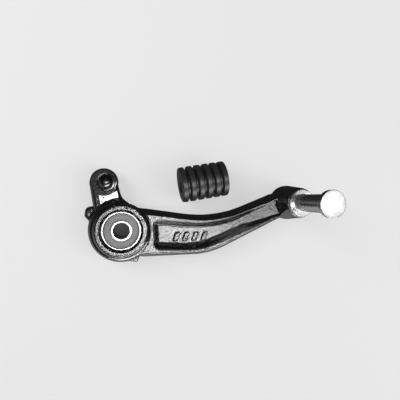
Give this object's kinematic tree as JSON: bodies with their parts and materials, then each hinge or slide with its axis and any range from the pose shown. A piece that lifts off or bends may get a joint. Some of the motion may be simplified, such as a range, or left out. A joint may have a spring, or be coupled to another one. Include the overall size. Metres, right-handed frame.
{
  "type": "motorcycle gear shift lever",
  "caption": "Cranked cast foot lever on sealed ball bearings, with a ball stud for the linkage, a steel toe peg and a ribbed rubber sleeve beside it.",
  "frame": {"origin": "middle of the whole kit's footprint, on the surface it lies on", "axes": "+Z along the pivot and peg axes, from the lever's back to the peg's head; +X from the pivot axis towards the peg axis; +Y towards the ball stud"},
  "size_m": [0.1594, 0.0688, 0.0646],
  "materials": {
    "gloss_black_paint": "gloss black paint over cast aluminium, slight orange peel and casting grain",
    "bearing_steel": "ground and polished bearing steel",
    "seal_rubber": "matte grey moulded seal",
    "cage_plastic": "natural polyamide",
    "turned_steel": "bright turned steel with fine lathe lines",
    "zinc_steel": "bright zinc plate",
    "black_steel": "polished black oxide, oiled",
    "sleeve_rubber": "satin moulded black rubber"
  },
  "bodies": {
    "pivot_core": {"front_inner_ring": "bearing_steel", "rear_inner_ring": "bearing_steel", "inner_spacer": "zinc_steel"},
    "lever": {"lever_arm": "gloss_black_paint", "front_outer_ring": "bearing_steel", "rear_outer_ring": "bearing_steel", "front_bearing_front_seal": "seal_rubber", "front_bearing_back_seal": "seal_rubber", "rear_bearing_front_seal": "seal_rubber", "rear_bearing_back_seal": "seal_rubber", "toe_peg": "turned_steel", "ball_stud": "black_steel", "ball_stud_nut": "zinc_steel"},
    "front_ball_set": {"front_ball_cage": "cage_plastic", "front_ball_1": "bearing_steel", "front_ball_2": "bearing_steel", "front_ball_3": "bearing_steel", "front_ball_4": "bearing_steel", "front_ball_5": "bearing_steel", "front_ball_6": "bearing_steel", "front_ball_7": "bearing_steel"},
    "rear_ball_set": {"rear_ball_cage": "cage_plastic", "rear_ball_1": "bearing_steel", "rear_ball_2": "bearing_steel", "rear_ball_3": "bearing_steel", "rear_ball_4": "bearing_steel", "rear_ball_5": "bearing_steel", "rear_ball_6": "bearing_steel", "rear_ball_7": "bearing_steel"},
    "sleeve": {"rubber_sleeve": "sleeve_rubber"}
  },
  "joints": [
    {"name": "lever_swing", "type": "hinge", "parent": "pivot_core", "child": "lever", "pos_m": [-0.05706, -0.00796, 0.0092], "axis": [0, 0, 1], "range_deg": [-20, 20]},
    {"name": "front_ball_orbit", "type": "hinge", "parent": "pivot_core", "child": "front_ball_set", "pos_m": [-0.05706, -0.00796, 0.014], "axis": [0, 0, 1], "range_deg": [-13, 13]},
    {"name": "rear_ball_orbit", "type": "hinge", "parent": "pivot_core", "child": "rear_ball_set", "pos_m": [-0.05706, -0.00796, 0.0045], "axis": [0, 0, 1], "range_deg": [-13, 13]},
    {"name": "sleeve_lift", "type": "slide", "parent": "lever", "child": "sleeve", "axis": [0, 0, 1], "range_m": [0, 0.06]}
  ],
  "couplings": [
    {"joint": "front_ball_orbit", "follows": "lever_swing", "ratio": 0.6322},
    {"joint": "rear_ball_orbit", "follows": "lever_swing", "ratio": 0.6322}
  ]
}
